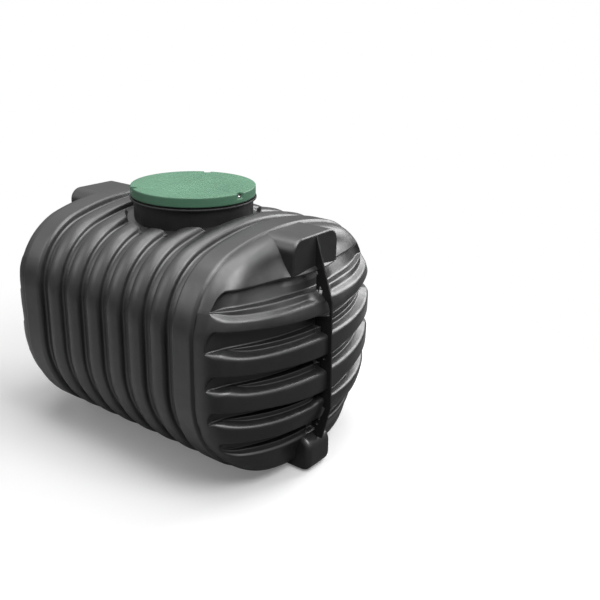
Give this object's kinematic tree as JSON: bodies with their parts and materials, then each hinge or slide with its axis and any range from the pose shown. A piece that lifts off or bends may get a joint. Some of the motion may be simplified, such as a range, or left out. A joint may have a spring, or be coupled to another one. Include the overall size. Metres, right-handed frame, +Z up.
{
  "type": "underground septic tank",
  "caption": "Horizontal ribbed plastic septic tank with dished ribbed ends, raised pipe blocks, a short central neck and a round screwed lid.",
  "frame": {"origin": "on the floor, midway between the two ends, under the neck's axis", "axes": "+X along the tank axis towards the front end, +Y across the tank, +Z up"},
  "size_m": [1.95, 1.408, 1.45],
  "materials": {
    "tank": "satin black moulded polyethylene",
    "neck": "satin black polyethylene",
    "lid": "satin dark green polyethylene with a raised tread pattern",
    "screws": "brushed"
  },
  "bodies": {
    "root": {"ring_1": "tank", "ring_2": "tank", "ring_3": "tank", "ring_4": "tank", "ring_5": "tank", "ring_6": "tank", "front_band": "tank", "front_cap": "tank", "front_rib_1": "tank", "front_rib_2": "tank", "front_rib_3": "tank", "front_rib_4": "tank", "front_rib_5": "tank", "front_pipe_block": "tank", "front_fin": "tank", "front_foot": "tank", "rear_band": "tank", "rear_cap": "tank", "rear_rib_1": "tank", "rear_rib_2": "tank", "rear_rib_3": "tank", "rear_rib_4": "tank", "rear_rib_5": "tank", "rear_pipe_block": "tank", "rear_fin": "tank", "rear_foot": "tank", "neck_recess": "tank", "neck": "neck", "neck_flange": "neck", "lid": "lid", "lid_screws": "screws"}
  },
  "joints": []
}
